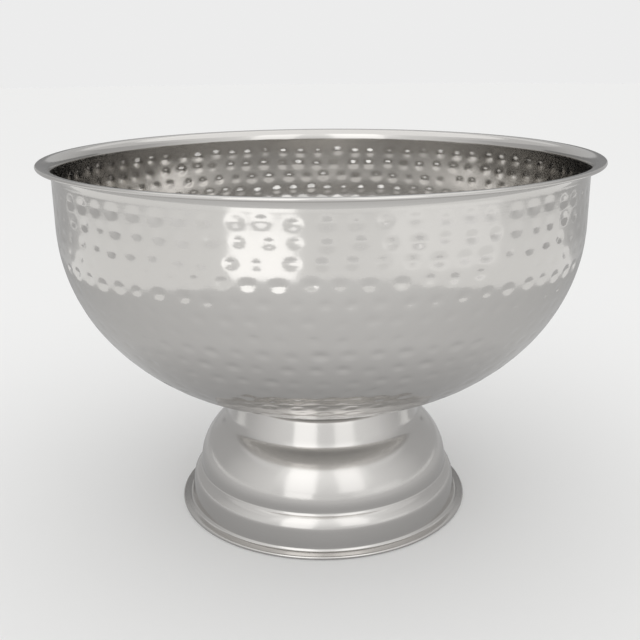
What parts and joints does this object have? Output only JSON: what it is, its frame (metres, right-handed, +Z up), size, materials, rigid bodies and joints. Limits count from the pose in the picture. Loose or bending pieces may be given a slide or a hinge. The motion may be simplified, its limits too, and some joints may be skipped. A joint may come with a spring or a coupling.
{
  "type": "punch bowl",
  "caption": "Round hammered bowl with an upright wall and a flared, folded lip, held by a stud and nut to a two-step domed pedestal foot with a rolled edge.",
  "frame": {"origin": "centre of the foot's resting ring, at the height of the table", "axes": "+Z up along the axis of the bowl and the foot; the object is round, so X and Y are free, with +Y away from the viewer and +X to the viewer's right"},
  "size_m": [0.4, 0.4, 0.268],
  "materials": {
    "hammered_steel": "stainless sheet, hammered all over below a plain band at the lip, mirror-polished",
    "polished_steel": "stainless sheet, spun and mirror-polished",
    "machined_steel": "stainless, as machined, dull",
    "black_rubber": "matt black sheet rubber"
  },
  "bodies": {
    "root": {"bowl_shell": "hammered_steel", "foot_shell": "polished_steel", "seat_gasket": "black_rubber", "weld_stud": "machined_steel", "spreader_washer": "machined_steel", "spring_washer": "machined_steel", "hex_nut": "machined_steel"}
  },
  "joints": []
}
